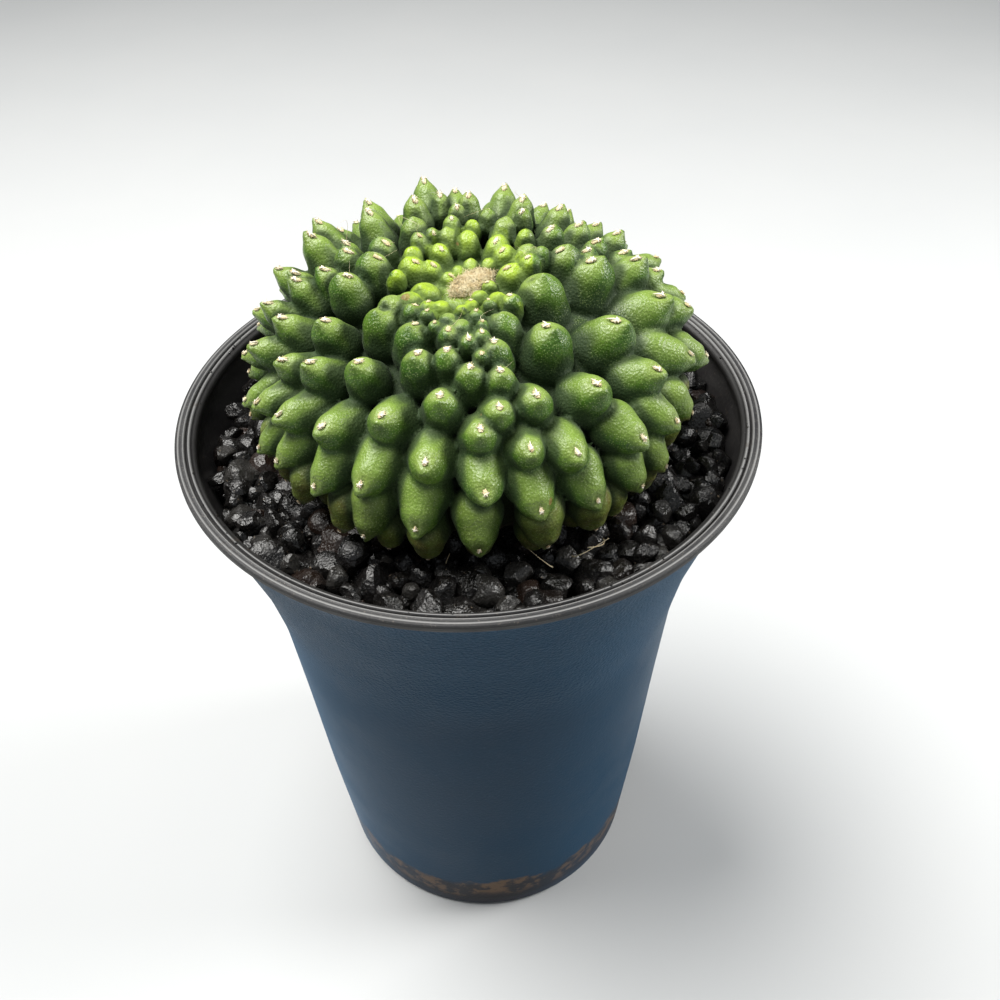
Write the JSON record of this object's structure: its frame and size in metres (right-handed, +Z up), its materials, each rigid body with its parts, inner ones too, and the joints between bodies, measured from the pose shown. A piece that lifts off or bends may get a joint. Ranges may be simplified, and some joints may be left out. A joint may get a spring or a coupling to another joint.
{
  "type": "potted crested gymnocalycium",
  "caption": "Low round cactus with ribs of chin-shaped tubercles and a woolly crown, growing in a flared plastic pot topped with black lava grit.",
  "frame": {"origin": "centre of the pot's foot, on the surface it stands on", "axes": "+Z up through the pot and plant, -Y toward the side the picture shows, +X to its right"},
  "size_m": [0.09, 0.09, 0.1373],
  "materials": {
    "pot_plastic": "satin",
    "potting_mix": "matte",
    "lava_grit": "satin",
    "cactus_skin": "satin",
    "areole_wool": "matte",
    "spines": "satin"
  },
  "bodies": {
    "root": {"pot": "pot_plastic", "potting_mix": "potting_mix", "grit_bed": "lava_grit", "cactus_body": "cactus_skin", "grit_stone_01": "lava_grit", "grit_stone_02": "lava_grit", "grit_stone_03": "lava_grit", "grit_stone_04": "lava_grit", "grit_stone_05": "lava_grit", "grit_stone_06": "lava_grit", "grit_stone_07": "lava_grit", "grit_stone_08": "lava_grit", "grit_stone_09": "lava_grit", "grit_stone_10": "lava_grit", "grit_stone_11": "lava_grit", "grit_stone_12": "lava_grit", "grit_stone_13": "lava_grit", "grit_stone_14": "lava_grit", "grit_stone_15": "lava_grit", "grit_stone_16": "lava_grit", "grit_stone_17": "lava_grit", "grit_stone_18": "lava_grit", "grit_stone_19": "lava_grit", "grit_stone_20": "lava_grit", "grit_stone_21": "lava_grit", "grit_stone_22": "lava_grit", "grit_stone_23": "lava_grit", "grit_stone_24": "lava_grit", "grit_stone_25": "lava_grit", "grit_stone_26": "lava_grit", "grit_stone_27": "lava_grit", "grit_stone_28": "lava_grit", "grit_stone_29": "lava_grit", "grit_stone_30": "lava_grit", "grit_stone_31": "lava_grit", "grit_stone_32": "lava_grit", "grit_stone_33": "lava_grit", "grit_stone_34": "lava_grit", "grit_stone_35": "lava_grit", "grit_stone_36": "lava_grit", "grit_stone_37": "lava_grit", "grit_stone_38": "lava_grit", "grit_stone_39": "lava_grit", "grit_stone_40": "lava_grit", "grit_stone_41": "lava_grit", "grit_stone_42": "lava_grit", "grit_stone_43": "lava_grit", "grit_stone_44": "lava_grit"}
  },
  "joints": []
}
